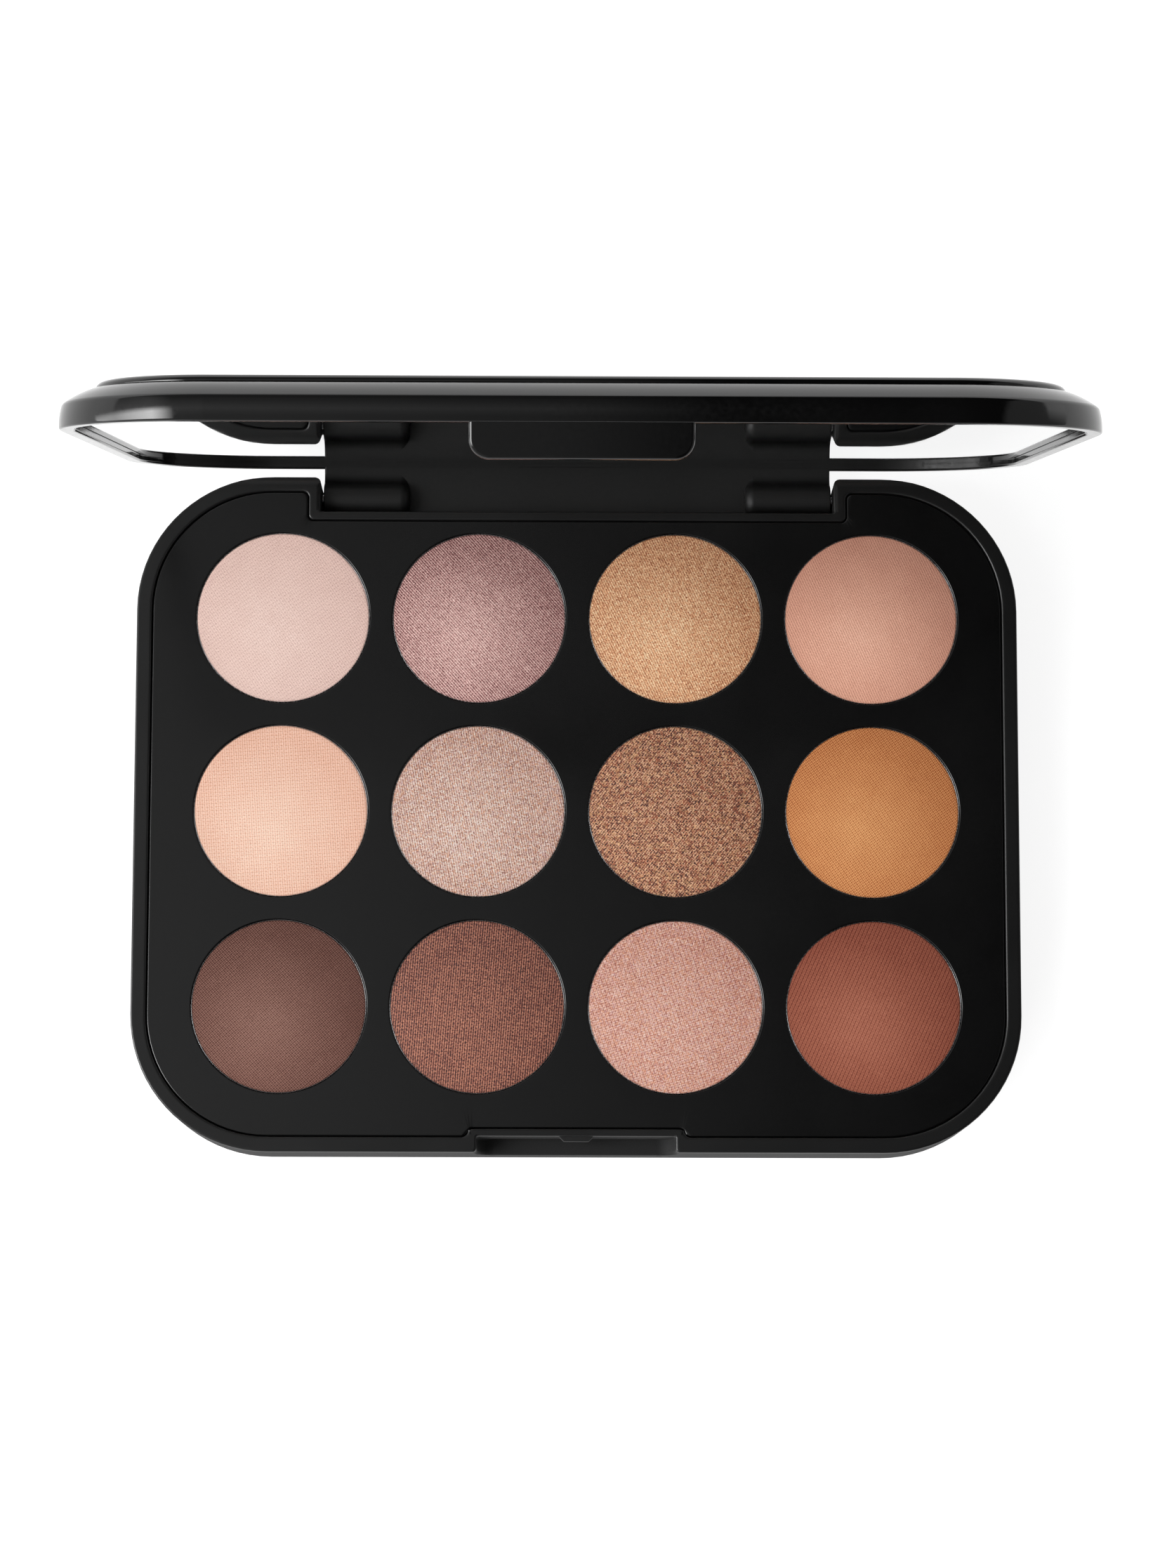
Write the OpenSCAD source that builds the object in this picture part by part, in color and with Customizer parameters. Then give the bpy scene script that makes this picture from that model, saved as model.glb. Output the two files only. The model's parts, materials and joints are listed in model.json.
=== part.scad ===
// A twelve-shade eyeshadow palette: a shallow base with a tray of round pans,
// and a mirrored lid on two hinge pins, drawn with the lid open.
// X runs to the right, Y to the hinge side, Z up. The base's underside is z = 0.

/* [Case] */
// Width of the case, left to right
case_w = 132.5; // [128:0.5:140]
// Depth of the case, front to back
case_d = 102.5; // [100:0.5:110]
// Radius of the case's corners, seen from above
corner_r = 20.5; // [17:0.5:22]
// Height of the base from its underside to its rim
base_h = 10; // [9.5:0.25:13]
// Thickness of the base's floor
floor_t = 1.2; // [0.8:0.1:1.6]
// Width of the rim, from the outer edge to the tray's seam
rim_w = 2.4; // [2:0.1:2.6]
// Radius on the base's lower edge
foot_round = 1.2; // [0.6:0.1:1.6]
// Small radius on the base's upper edge and on the lid's lip
lip_round = 0.3; // [0.2:0.05:0.5]

/* [Tray] */
// How far the tray's face lies below the rim
tray_drop = 0.2; // [0.1:0.05:0.4]
// Thickness of the tray's plate
tray_t = 1.4; // [1:0.1:1.8]
// Gap between the tray's edge and the rim, all round
tray_gap = 0.15; // [0.05:0.05:0.2]
// Width of the ledge that the tray's edge rests on
ledge_w = 1.2; // [0.8:0.1:1.6]
// Radius on the lip of each well
well_lip = 0.35; // [0.2:0.05:0.5]
// Wall of each well, below the plate
well_wall = 1; // [0.8:0.1:1.2]
// Floor of each well
well_floor = 0.9; // [0.6:0.1:1.2]
// Radius of the tray's posts
post_r = 2.4; // [2:0.1:3]
// Height of a post's tip in its socket
tip_h = 1.4; // [1:0.1:1.8]

/* [Pans] */
// Border between the block of pans and the case's left and right sides
side_border = 7.25; // [6.5:0.25:8]
// Border between the block of pans and the case's front and back
end_border = 7; // [6.75:0.25:8]
// Outer diameter of a pan
pan_d = 26; // [25:0.1:26.4]
// Height of a pan
pan_h = 2.2; // [1.8:0.1:2.6]
// Sheet thickness of a pan
pan_t = 0.25; // [0.2:0.05:0.4]
// Gap between a pan and its well
pan_gap = 0.2; // [0.1:0.05:0.3]
// How far a pan's rim lies below the tray's face
pan_drop = 0.1; // [0.05:0.05:0.4]
// How far the powder lies below the pan's rim
powder_drop = 0.1; // [0.05:0.05:0.4]
// Radius on the powder's upper edge
powder_round = 0.35; // [0.2:0.05:0.5]
// Thickness of the glue under a pan
glue_t = 0.15; // [0.1:0.05:0.25]
// Diameter of the glue under a pan
glue_d = 14; // [8:0.5:18]

/* [Hinge] */
// Lid angle as drawn, 0 when shut
lid_open = 76; // [0:1:110]
// Distance of the hinge axis from the back face
hinge_inset = 2.4; // [2.2:0.05:2.5]
// Depth of the hinge axis below the rim
hinge_drop = 4.6; // [4.4:0.05:4.8]
// Radius of the lid's two knuckles
knuckle_r = 2.65; // [2.55:0.05:2.75]
// Length of each knuckle
knuckle_len = 13; // [10:0.5:16]
// Radius on a knuckle's inner end
knuckle_round = 1.4; // [0.8:0.1:1.6]
// Width of the hinge notch in the base
notch_w = 77.6; // [70:0.2:80]
// Gap between the knuckles and the notch, front and sides
notch_gap = 0.3; // [0.2:0.05:0.5]
// Radius on the notch's rear corners
notch_round = 1; // [0.6:0.1:1.4]
// Rim left in front of the hinge notch
bay_front = 1.45; // [1.2:0.05:1.7]
// Rim left beside the hinge notch
bay_side = 1.9; // [1.5:0.1:2.3]
// Radius on the corners of the tray's two bays
bay_round = 0.9; // [0.6:0.1:1.2]
// Height of the stop in the notch above the floor
stop_h = 0.6; // [0.4:0.1:0.7]
// Radius of a hinge pin
pin_r = 0.8; // [0.6:0.05:1]
// Running clearance of a pin in its knuckle
pin_fit = 0.05; // [0.03:0.01:0.08]
// Clearance of a pin in the base, where it is pressed
pin_press = 0.01; // [0.01:0.01:0.02]
// Length of a pin held in the base
pin_seat = 3; // [2:0.25:3]
// Room that the lid's lip keeps as it swings past the rim
swing_gap = 0.1; // [0.05:0.05:0.2]

/* [Lid] */
// Gap between the shut lid and the rim
lid_gap = 0.2; // [0.15:0.05:0.3]
// Thickness of the lid's frame
lid_t = 5.4; // [5.2:0.05:5.6]
// Straight part of the lid's side, above the lip
side_flat = 0.4; // [0.35:0.05:0.6]
// Radius on which the lid's side leans in
side_r = 9; // [7:0.5:9.5]
// Angle to which the side leans in before the shoulder
side_lean = 16; // [12:1:17]
// Slope of the shoulder's top, up to the cover
top_slope = 25; // [20:1:26]
// Width of the lid's lip around the mirror
lid_rim = 2; // [1.9:0.05:2.1]
// How far the mirror lies below the lip
mirror_recess = 0.85; // [0.6:0.05:1.2]
// Thickness of the mirror
mirror_t = 1.2; // [1:0.1:1.4]
// Gap between the mirror's edge and the frame
mirror_gap = 0.15; // [0.1:0.05:0.2]
// Thickness of the tape behind the mirror
tape_t = 0.3; // [0.2:0.05:0.4]
// Distance of the tape's edge from the mirror's edge
tape_inset = 5; // [3:0.5:12]
// Distance of the raised cover's edge from the lid's edge
cover_inset = 4.75; // [4:0.25:5]
// Thickness of the cover
cover_t = 1.35; // [1.2:0.05:1.6]
// Depth of the seat that holds the cover
cover_seat = 0.7; // [0.5:0.1:0.9]
// Gap between the cover's edge and its seat
cover_gap = 0.15; // [0.1:0.05:0.2]
// Radius on the cover's upper edge
cover_round = 0.6; // [0.4:0.1:0.8]

/* [Latch] */
// Width of the latch notch in the base
latch_w = 29.5; // [26:0.5:32]
// Depth of the latch notch behind the front face
latch_d = 2.4; // [2.3:0.05:2.6]
// Height of the latch notch
latch_h = 4.8; // [4.6:0.1:5.4]
// Radius on the latch notch's lower corners
latch_round = 2.4; // [1.6:0.1:2.8]
// Rim left behind the latch notch
latch_wall = 1.25; // [1.1:0.05:1.5]
// Rim left beside the latch notch
latch_side = 1.4; // [1.2:0.1:1.8]
// Gap between the lid's tab and each side of the notch
tab_side = 1; // [0.5:0.1:1.4]
// Thickness of the lid's tab
tab_t = 1.3; // [1.2:0.05:1.35]
// Set-back of the tab from the lid's front edge
tab_back = 0.15; // [0.1:0.05:0.2]
// Length of the tab below the lip
tab_h = 4.4; // [3.6:0.1:4.5]
// Width of the catch on the base and of the hook on the tab
catch_w = 5.2; // [4:0.2:8]
// Depth of the catch
catch_d = 0.75; // [0.6:0.05:0.8]
// Height of the catch and of the hook
catch_h = 0.8; // [0.6:0.1:0.9]
// Depth of the catch's top below the rim
catch_drop = 0.3; // [0.2:0.05:0.5]
// Depth of the hook
hook_d = 0.4; // [0.35:0.05:0.5]
// Gap between the hook and the catch when shut
hook_gap = 0.2; // [0.1:0.05:0.3]

/* [Hidden] */
$fn = 96;
// Pans along the width and along the depth
columns = 4;
rows = 3;
// How far a cut runs past the face it opens, and a joined piece into its neighbour
over = 0.5;
// Sideways clearance of a powder in its pan, and of a post's tip in its socket
cake_fit = 0.02;
tip_fit = 0.05;
// How far the cut beside an arc reaches, as a share of the arc's radius
chip_reach = 1.7;
// Angle at which two cuts on the lid's shoulder cross
crease = 3;
// Share of a post's radius that its tip keeps, and the wall of its socket
tip_share = 0.6;
socket_wall = 1.2;

tray_z = base_h - tray_drop;
ledge_z = tray_z - tray_t;
pan_z = tray_z - pan_drop;
pan_foot = pan_z - pan_h;
well_z = pan_foot - glue_t;
well_foot = well_z - well_floor;
powder_z = pan_z - powder_drop;
well_r = pan_d / 2 + pan_gap;
pitch_x = (case_w - 2 * side_border) / columns;
pitch_y = (case_d - 2 * end_border) / rows;
tip_r = post_r * tip_share;

hinge_y = case_d / 2 - hinge_inset;
hinge_z = base_h - hinge_drop;
notch_d = hinge_inset + knuckle_r + notch_gap;
notch_floor = floor_t + stop_h;
tongue_w = notch_w - 2 * notch_gap;
pin_len = knuckle_len + notch_gap + pin_seat;
pin_in = tongue_w / 2 - knuckle_len;

lip_z = base_h + lid_gap;
lip_h = lip_z - hinge_z;
swing_r = lip_h - swing_gap;
mirror_z = lip_z + mirror_recess;
tape_z = mirror_z + mirror_t;
lid_z = lip_z + lid_t;
seat_z = lid_z - cover_seat;
cover_z = seat_z + cover_t;
cover_r = corner_r - cover_inset;
seat_inset = cover_inset - cover_gap;

front_y = -case_d / 2;
tab_w = latch_w - 2 * tab_side;
tab_y = front_y + tab_back + tab_t;
catch_z = base_h - catch_drop - catch_h;
hook_z = catch_z - hook_gap - catch_h;

// Colours of the pieces
case_black = [0.07, 0.07, 0.075];
tray_black = [0.09, 0.09, 0.095];
silver = [0.85, 0.85, 0.86];
steel = [0.7, 0.71, 0.72];
glue_clear = [0.9, 0.88, 0.8];
tape_white = [0.92, 0.92, 0.9];
cream = [0.92, 0.8, 0.75];
plum = [0.62, 0.46, 0.5];
gold = [0.78, 0.6, 0.38];
dusty_rose = [0.83, 0.6, 0.52];
peach = [0.94, 0.78, 0.68];
taupe = [0.78, 0.66, 0.62];
bronze = [0.5, 0.32, 0.2];
ochre = [0.8, 0.56, 0.34];
umber = [0.36, 0.22, 0.18];
russet = [0.58, 0.3, 0.24];
rose = [0.8, 0.52, 0.5];
brick = [0.7, 0.34, 0.26];
// Shades from the hinge side to the front, left to right in each row
shades = [
    [cream, plum, gold, dusty_rose],
    [peach, taupe, bronze, ochre],
    [umber, russet, rose, brick]
];

function pan_name(r, c) = str("pan_", r, "_", c);
function shade_name(r, c) = str("shade_", r, "_", c);

// Outline of a rounded rectangle
module plan(w, d, r) {
    square([w - 2 * r, d], center = true);
    square([w, d - 2 * r], center = true);
    for (x = [-1, 1], y = [-1, 1])
        translate([x * (w / 2 - r), y * (d / 2 - r)])
            circle(r);
}

// What a round takes off a square edge: the edge is at the origin, the solid below and to the left
module chip(e) {
    difference() {
        translate([-e, -e])
            square(e + over);
        translate([-e, -e])
            circle(e);
    }
}

// A profile carried round a rounded rectangle, its origin on the outline
module around(w, d, r) {
    for (k = [0 : 3]) {
        half = k % 2 == 0 ? w / 2 : d / 2;
        run = k % 2 == 0 ? d - 2 * r : w - 2 * r;
        rotate(90 * k)
            translate([half, 0, 0])
                rotate([90, 0, 0])
                    linear_extrude(run, center = true)
                        children();
        rotate(90 * k)
            translate([half - r, run / 2, 0])
                rotate_extrude(angle = 90)
                    translate([r, 0])
                        children();
    }
}

// What lies outside an arc, between the rays to its two ends
module arc_chip(centre, r, from, to) {
    reach = chip_reach * r;
    half = (to - from) / 2;
    translate(centre)
        difference() {
            polygon([
                [0, 0],
                reach * [cos(from), sin(from)],
                reach / cos(half) * [cos(from + half), sin(from + half)],
                reach * [cos(to), sin(to)]
            ]);
            circle(r);
        }
}

// What the lid's shoulder takes off: the side leans in on a large arc, turns over on a smaller one,
// and then slopes up past the wall of the cover's seat. The cuts lap over each other and cross at a
// slight angle.
module shoulder_chip() {
    h = lid_t - side_flat;
    run = seat_inset + over;
    rise = tan(top_slope);
    first = side_lean + crease;
    last = 90 - top_slope - crease;
    start = [side_r * (cos(side_lean) - 1), side_r * sin(side_lean) - h];
    rest = -start.y - (run + start.x) * rise;
    r = rest / (sin(last) - sin(first) + (cos(last) - cos(first)) * rise);
    arc_chip([-side_r, -h], side_r, 0, first);
    arc_chip(start - r * [cos(first), sin(first)], r, side_lean, 90 - top_slope);
    polygon([
        [over, -(run + over) * rise],
        [over, over],
        [-run, over],
        [-run, 0]
    ]);
}

// A rounded slab with a round on its lower edge, and its child taken off along its upper edge
module slab(w, d, r, z0, z1, low) {
    difference() {
        translate([0, 0, z0])
            linear_extrude(z1 - z0)
                plan(w, d, r);
        translate([0, 0, z0])
            around(w, d, r)
                mirror([0, 1])
                    chip(low);
        translate([0, 0, z1])
            around(w, d, r)
                children();
    }
}

// The corner that a round takes off beside an opening: solid to the right and below
module nip(r) {
    difference() {
        translate([-over, -r])
            square(r + over);
        translate([r, -r])
            circle(r);
    }
}

// An opening in the back edge of an outline, with rounded inner and outer corners
module bay(w, depth, inner, outer) {
    translate([0, depth])
        plan(w, 4 * depth, inner);
    if (outer > 0)
        for (s = [0, 1])
            mirror([s, 0])
                translate([w / 2, 0])
                    nip(outer);
}

// The tray's outline, grown by g
module tray_outline(g) {
    tray_w = case_w - 2 * rim_w + 2 * g;
    tray_d = case_d - 2 * rim_w + 2 * g;
    hinge_cut = notch_d + bay_front - rim_w;
    latch_cut = latch_d + latch_wall - rim_w;
    difference() {
        plan(tray_w, tray_d, corner_r - rim_w + g);
        translate([0, tray_d / 2])
            bay(notch_w + 2 * bay_side - 2 * g, hinge_cut, bay_round - g, bay_round + g);
        mirror([0, 1])
            translate([0, tray_d / 2])
                bay(latch_w + 2 * latch_side - 2 * g, latch_cut, bay_round - g, bay_round + g);
    }
}

// Puts its children at each pan's centre
module each_pan() {
    for (r = [1 : rows], c = [1 : columns])
        at_pan(r, c)
            children();
}

module at_pan(r, c) {
    translate([(c - (columns + 1) / 2) * pitch_x, ((rows + 1) / 2 - r) * pitch_y, 0])
        children();
}

// Puts its children at each post, midway between four pans
module each_post() {
    for (r = [1 : rows - 1], c = [1 : columns - 1])
        translate([(c - columns / 2) * pitch_x, (rows / 2 - r) * pitch_y, 0])
            children();
}

// Turns a piece drawn with the lid shut to the angle that the lid is drawn at
module lid_pose() {
    translate([0, hinge_y, hinge_z])
        rotate([-lid_open, 0, 0])
            translate([0, -hinge_y, -hinge_z])
                children();
}

// A cylinder along the hinge axis, from x0 to x1
module axle(r, x0, x1) {
    translate([x0, hinge_y, hinge_z])
        rotate([0, 90, 0])
            cylinder(r = r, h = x1 - x0);
}

// A tab outline that hangs from the X axis, with rounded lower corners
module hanging(w, h, r) {
    translate([-w / 2, r - h])
        square([w, h - r + over]);
    translate([r - w / 2, -h])
        square([w - 2 * r, h]);
    for (s = [-1, 1])
        translate([s * (w / 2 - r), r - h])
            circle(r);
}

// What the lid's lip sweeps past behind the hinge axis, which the rim gives way to
module swing_cut() {
    difference() {
        translate([-case_w / 2 - over, hinge_y, base_h - hinge_inset])
            cube([case_w + 2 * over, hinge_inset + over, hinge_inset + over]);
        axle(swing_r, -case_w / 2 - 2 * over, case_w / 2 + 2 * over);
    }
}

module base_shell() {
    color(case_black)
        union() {
            difference() {
                slab(case_w, case_d, corner_r, 0, base_h, foot_round)
                    chip(lip_round);
                translate([0, 0, ledge_z])
                    linear_extrude(base_h)
                        tray_outline(tray_gap);
                translate([0, 0, floor_t])
                    linear_extrude(base_h)
                        tray_outline(-ledge_w);
                translate([0, 0, well_foot - tray_gap])
                    each_pan()
                        cylinder(r = well_r + well_wall + tray_gap, h = ledge_z - well_foot + 2 * tray_gap);
                translate([0, case_d / 2, notch_floor])
                    linear_extrude(base_h)
                        union() {
                            square([notch_w, 2 * notch_d], center = true);
                            for (s = [0, 1])
                                mirror([s, 0])
                                    translate([notch_w / 2, 0])
                                        nip(notch_round);
                        }
                swing_cut();
                translate([0, front_y + latch_d, base_h])
                    rotate([90, 0, 0])
                        linear_extrude(latch_d + over)
                            hanging(latch_w, latch_h, latch_round);
                for (s = [0, 1])
                    mirror([s, 0, 0])
                        axle(pin_r + pin_press, notch_w / 2 - over, notch_w / 2 + pin_seat);
            }
            base_catch();
            each_post()
                base_post();
        }
}

// The catch on the latch notch's wall
module base_catch() {
    translate([0, front_y + latch_d, catch_z])
        linear_extrude(catch_h)
            polygon([
                [-catch_w / 2, over],
                [catch_w / 2, over],
                [catch_w / 2, 0],
                [catch_w / 2 - catch_d, -catch_d],
                [catch_d - catch_w / 2, -catch_d],
                [-catch_w / 2, 0]
            ]);
}

// A post that holds the tray up, with a tip that goes into the tray's socket
module base_post() {
    translate([0, 0, floor_t - over])
        cylinder(r = post_r, h = well_foot - floor_t + over);
    translate([0, 0, well_foot - over])
        cylinder(r = tip_r, h = tip_h + over);
}

module pan_tray() {
    color(tray_black)
        difference() {
            union() {
                translate([0, 0, ledge_z])
                    linear_extrude(tray_t)
                        tray_outline(0);
                translate([0, 0, well_foot])
                    each_pan()
                        cylinder(r = well_r + well_wall, h = ledge_z - well_foot + over);
                translate([0, 0, well_foot])
                    each_post()
                        cylinder(r = tip_r + tip_fit + socket_wall, h = ledge_z - well_foot + over);
            }
            each_pan()
                well_cut();
            translate([0, 0, well_foot - over])
                each_post()
                    cylinder(r = tip_r + tip_fit, h = tip_h + tip_fit + over);
        }
}

// The space of one well, with a round on its lip
module well_cut() {
    translate([0, 0, well_z])
        cylinder(r = well_r, h = base_h - well_z);
    translate([0, 0, tray_z])
        rotate_extrude()
            translate([well_r, 0])
                mirror([1, 0])
                    chip(well_lip);
}

module pan_glue() {
    color(glue_clear)
        translate([0, 0, well_z])
            each_pan()
                cylinder(d = glue_d, h = glue_t);
}

// A round pan drawn from sheet, with a rounded foot
module pan(r, c) {
    color(silver)
        at_pan(r, c)
            translate([0, 0, pan_foot])
                rotate_extrude()
                    difference() {
                        pan_half(pan_d / 2, pan_h, 2 * pan_t);
                        translate([0, pan_t])
                            pan_half(pan_d / 2 - pan_t, pan_h, pan_t);
                    }
}

// Half of a pan's section, with a round at its lower corner
module pan_half(r, h, e) {
    translate([0, e])
        square([r, h - e]);
    square([r - e, h]);
    translate([r - e, e])
        circle(e);
}

// A cake of pressed powder in its pan
module shade(r, c) {
    cake_r = pan_d / 2 - pan_t - cake_fit;
    cake_z = pan_foot + pan_t;
    color(shades[r - 1][c - 1])
        at_pan(r, c)
            rotate_extrude()
                difference() {
                    translate([0, cake_z])
                        pan_half(cake_r, powder_z - cake_z, pan_t);
                    translate([cake_r, powder_z])
                        chip(powder_round);
                }
}

module hinge_pin(s) {
    color(steel)
        mirror([s, 0, 0])
            axle(pin_r, pin_in, pin_in + pin_len);
}

module hinge_pin_left() {
    hinge_pin(1);
}

module hinge_pin_right() {
    hinge_pin(0);
}

module lid_frame() {
    color(case_black)
        lid_pose()
            difference() {
                union() {
                    difference() {
                        slab(case_w, case_d, corner_r, lip_z, lid_z, lip_round)
                            shoulder_chip();
                        translate([0, 0, lip_z - over])
                            linear_extrude(tape_z + tape_t - lip_z + over)
                                plan(
                                    case_w - 2 * lid_rim,
                                    case_d - 2 * lid_rim,
                                    corner_r - lid_rim
                                );
                        translate([0, 0, seat_z])
                            linear_extrude(lid_t)
                                plan(
                                    case_w - 2 * seat_inset,
                                    case_d - 2 * seat_inset,
                                    cover_r + cover_gap
                                );
                    }
                    lid_tongue();
                    lid_tab();
                }
                axle(pin_r + pin_fit, -notch_w / 2, notch_w / 2);
            }
}

// The tongue that reaches down into the base's notch, with a knuckle at each end
module lid_tongue() {
    translate([0, hinge_y, hinge_z])
        rotate([90, 0, 90])
            linear_extrude(tongue_w, center = true) {
                translate([hinge_inset - lid_rim, 0])
                    square([lid_rim, lip_h + over]);
                intersection() {
                    circle(knuckle_r);
                    translate([hinge_inset - lid_rim, -knuckle_r])
                        square([lid_rim, knuckle_r + over]);
                }
            }
    intersection() {
        for (s = [0, 1])
            mirror([s, 0, 0])
                translate([tongue_w / 2, hinge_y, hinge_z])
                    rotate([0, -90, 0])
                        rotate_extrude()
                            knuckle_half();
        translate([-case_w / 2, hinge_y - 2 * knuckle_r, hinge_z - 2 * knuckle_r])
            cube([case_w, 2 * knuckle_r + hinge_inset, 4 * knuckle_r]);
    }
}

// Half of a knuckle's section along its axis, rounded at the inner end
module knuckle_half() {
    square([knuckle_r, knuckle_len - knuckle_round]);
    square([knuckle_r - knuckle_round, knuckle_len]);
    translate([knuckle_r - knuckle_round, knuckle_len - knuckle_round])
        intersection() {
            circle(knuckle_round);
            square(knuckle_round);
        }
}

// The tab at the lid's free edge, with the hook that snaps under the catch
module lid_tab() {
    translate([0, tab_y, lip_z])
        rotate([90, 0, 0])
            linear_extrude(tab_t)
                hanging(tab_w, tab_h, latch_round);
    translate([0, tab_y, hook_z])
        rotate([90, 0, 90])
            linear_extrude(catch_w, center = true)
                polygon([
                    [-over, 0],
                    [0, 0],
                    [hook_d, catch_h / 2],
                    [hook_d, catch_h],
                    [-over, catch_h]
                ]);
}

module lid_cover() {
    color(case_black)
        lid_pose()
            slab(
                case_w - 2 * cover_inset,
                case_d - 2 * cover_inset,
                cover_r,
                seat_z,
                cover_z,
                lip_round
            )
                chip(cover_round);
}

module mirror_glass(inset, z, t) {
    edge = lid_rim + mirror_gap + inset;
    lid_pose()
        translate([0, 0, z])
            linear_extrude(t)
                plan(case_w - 2 * edge, case_d - 2 * edge, corner_r - edge);
}

module mirror_plate() {
    color(silver)
        mirror_glass(0, mirror_z, mirror_t);
}

module mirror_tape() {
    color(tape_white)
        mirror_glass(tape_inset, tape_z, tape_t);
}

base_shell();
pan_tray();
pan_glue();
hinge_pin_left();
hinge_pin_right();
lid_frame();
lid_cover();
mirror_plate();  // mirror
mirror_tape();
for (r = [1 : rows], c = [1 : columns])
    pan(r, c);
for (r = [1 : rows], c = [1 : columns])
    shade(r, c);
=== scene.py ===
# %% [markdown]
# # An eyeshadow palette with a mirrored lid
# The real thing is a shallow black case. Its base holds a tray with twelve round pans of pressed powder,
# and its lid carries a mirror and turns on two pins at the back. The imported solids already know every
# size and place, so this script loads them first and takes its driving sizes from them. Each piece is
# then worked out again with fine rounded edges, because it is the edges that catch the studio light.

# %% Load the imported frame
import json
import math

import bmesh
import bpy
import numpy as np
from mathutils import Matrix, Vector
from mathutils.geometry import delaunay_2d_cdt


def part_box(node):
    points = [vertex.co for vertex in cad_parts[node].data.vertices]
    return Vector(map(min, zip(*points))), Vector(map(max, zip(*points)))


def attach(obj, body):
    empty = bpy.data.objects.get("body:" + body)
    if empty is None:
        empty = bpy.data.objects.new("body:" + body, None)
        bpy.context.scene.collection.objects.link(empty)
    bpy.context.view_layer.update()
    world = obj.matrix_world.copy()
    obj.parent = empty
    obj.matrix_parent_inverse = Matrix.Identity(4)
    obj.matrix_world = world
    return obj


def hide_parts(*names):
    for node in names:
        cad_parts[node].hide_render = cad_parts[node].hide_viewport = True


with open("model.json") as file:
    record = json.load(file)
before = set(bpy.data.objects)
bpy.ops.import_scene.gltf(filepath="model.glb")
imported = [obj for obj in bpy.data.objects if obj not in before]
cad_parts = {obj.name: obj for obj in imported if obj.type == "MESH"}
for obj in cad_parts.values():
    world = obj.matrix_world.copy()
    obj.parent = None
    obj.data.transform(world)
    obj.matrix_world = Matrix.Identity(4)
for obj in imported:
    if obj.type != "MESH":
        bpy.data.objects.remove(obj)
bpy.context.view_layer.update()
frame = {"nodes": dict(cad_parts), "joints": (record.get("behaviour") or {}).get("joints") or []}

# %% [markdown]
# ## Sizes
# Everything below is worked out in millimetres and turned into metres when a mesh is made. The outer
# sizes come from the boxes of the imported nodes, and the hinge from the record's joint. What a box can't
# tell, such as a corner's radius or the depth of a notch, is named with the part's own value: here where
# several pieces share it, and otherwise beside the piece that needs it.

# %% Sizes from the frame
MM = 0.001


def box_mm(node_name):
    """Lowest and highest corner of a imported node, in millimetres."""
    low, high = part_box(node_name)
    return np.array(low) / MM, np.array(high) / MM


HALF_W, HALF_D, RIM_Z = box_mm("base_shell")[1]
TRAY_HALF_W, TRAY_HALF_D, TRAY_Z = box_mm("pan_tray")[1]
WELL_FOOT = box_mm("pan_tray")[0][2]
RIM_W = HALF_W - TRAY_HALF_W

hinge = frame["joints"][0]
HINGE_Y, HINGE_Z = np.array(hinge["pos_m"][1:]) / MM
LID_OPEN = math.radians(-hinge["range_deg"][0])
print("base", round(2 * HALF_W, 2), "mm wide,", round(2 * HALF_D, 2), "deep and", round(RIM_Z, 2), "high")
print("lid open by", round(math.degrees(LID_OPEN)), "degrees")

pan_centres = {(r, c): sum(box_mm("pan_%d_%d" % (r, c))) / 2 for r in (1, 2, 3) for c in (1, 2, 3, 4)}
post_spots = [(pan_centres[r, c] + pan_centres[r + 1, c + 1]) / 2 for r in (1, 2) for c in (1, 2, 3)]
print("pans:", len(pan_centres), "with", len(post_spots), "posts between them")

# %% Sizes that several pieces share
CORNER_R = 20.5
LIP_ROUND = 0.3  # the rim of the base, the lip of the lid and the foot of its panel
INNER_ROUND = 0.3  # hollow corners of the notches
EDGE_ROUND = 0.25  # outer edges of the notches and of the tongue
SEAM_ROUND = 0.26  # both sides of the seam between base and tray
CHAMFER = 0.2
CRISP = 0.1  # corners that are meant to look sharp
PLATE_Z = TRAY_Z - 1.4  # underside of the tray's plate
LATCH_Y = 2.4 - HALF_D
LATCH_ROUND = 2.4  # lower corners of the latch notch and of the tab in it
CATCH_HALF = 2.6
CATCH_H = 0.8
CATCH_Z = RIM_Z - 1.1
print("rim", round(RIM_W, 2), "mm wide, tray", round(RIM_Z - TRAY_Z, 2), "mm below it")

# %% [markdown]
# ## Outlines and skins
# Nearly every piece here is an outline with rounded corners, carried up a profile. Blender could bevel
# boxes instead, but the notches and the seam have to follow each other exactly, so the outline is worked
# out as one array of points with its outward normals. Moving the points along the normals makes the
# outline larger or smaller, and a stack of such rows is the skin of a piece.

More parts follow.
